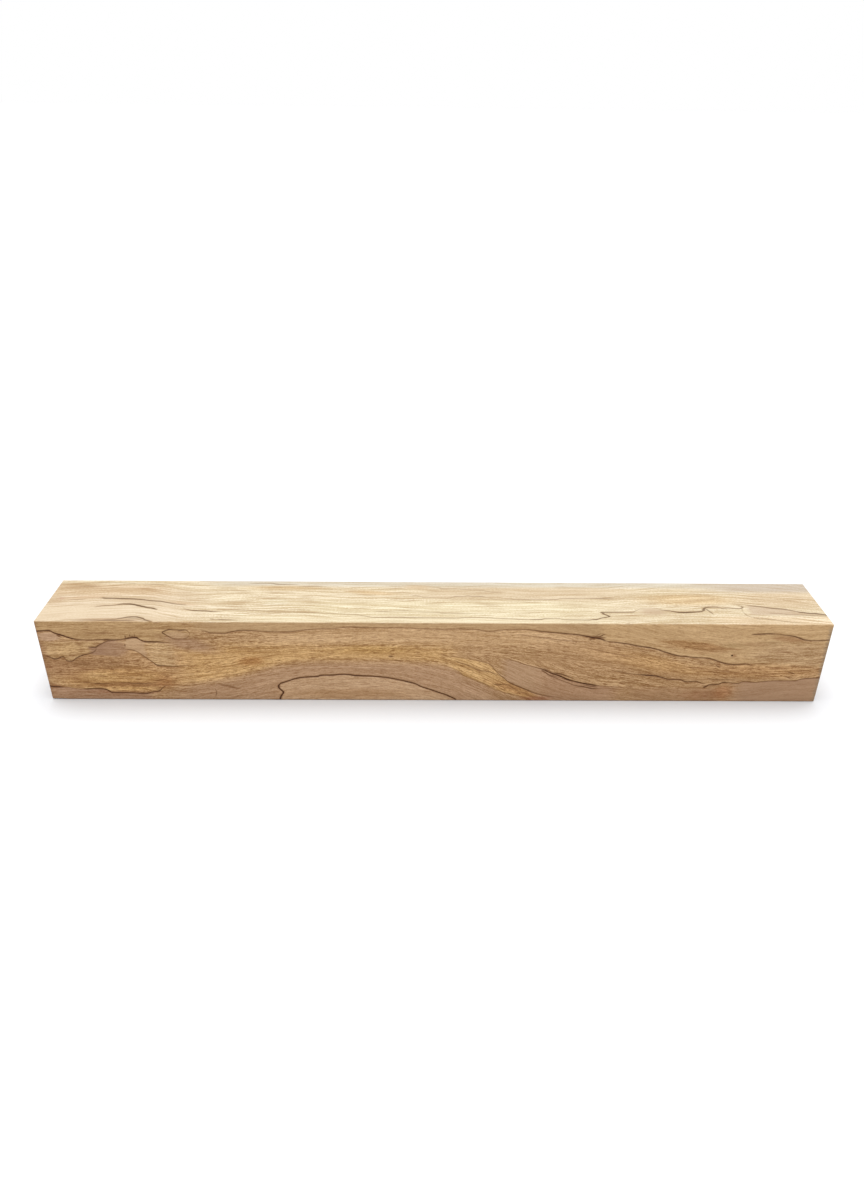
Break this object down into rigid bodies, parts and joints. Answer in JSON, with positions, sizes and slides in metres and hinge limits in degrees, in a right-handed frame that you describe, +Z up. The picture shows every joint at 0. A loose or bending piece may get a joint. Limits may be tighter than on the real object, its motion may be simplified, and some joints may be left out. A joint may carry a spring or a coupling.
{
  "type": "wood turning blank",
  "caption": "Square stick of spalted hardwood, sawn and sanded to size, ready to be held between centres and turned on a lathe.",
  "frame": {"origin": "middle of the face that the stick lies on", "axes": "+X along the grain towards the right-hand end, -Y out of the front face, +Z up"},
  "size_m": [0.45, 0.052, 0.052],
  "materials": {
    "spalted_wood": "matt, sanded long faces and sawn ends"
  },
  "bodies": {
    "root": {"turning_blank": "spalted_wood"}
  },
  "joints": []
}
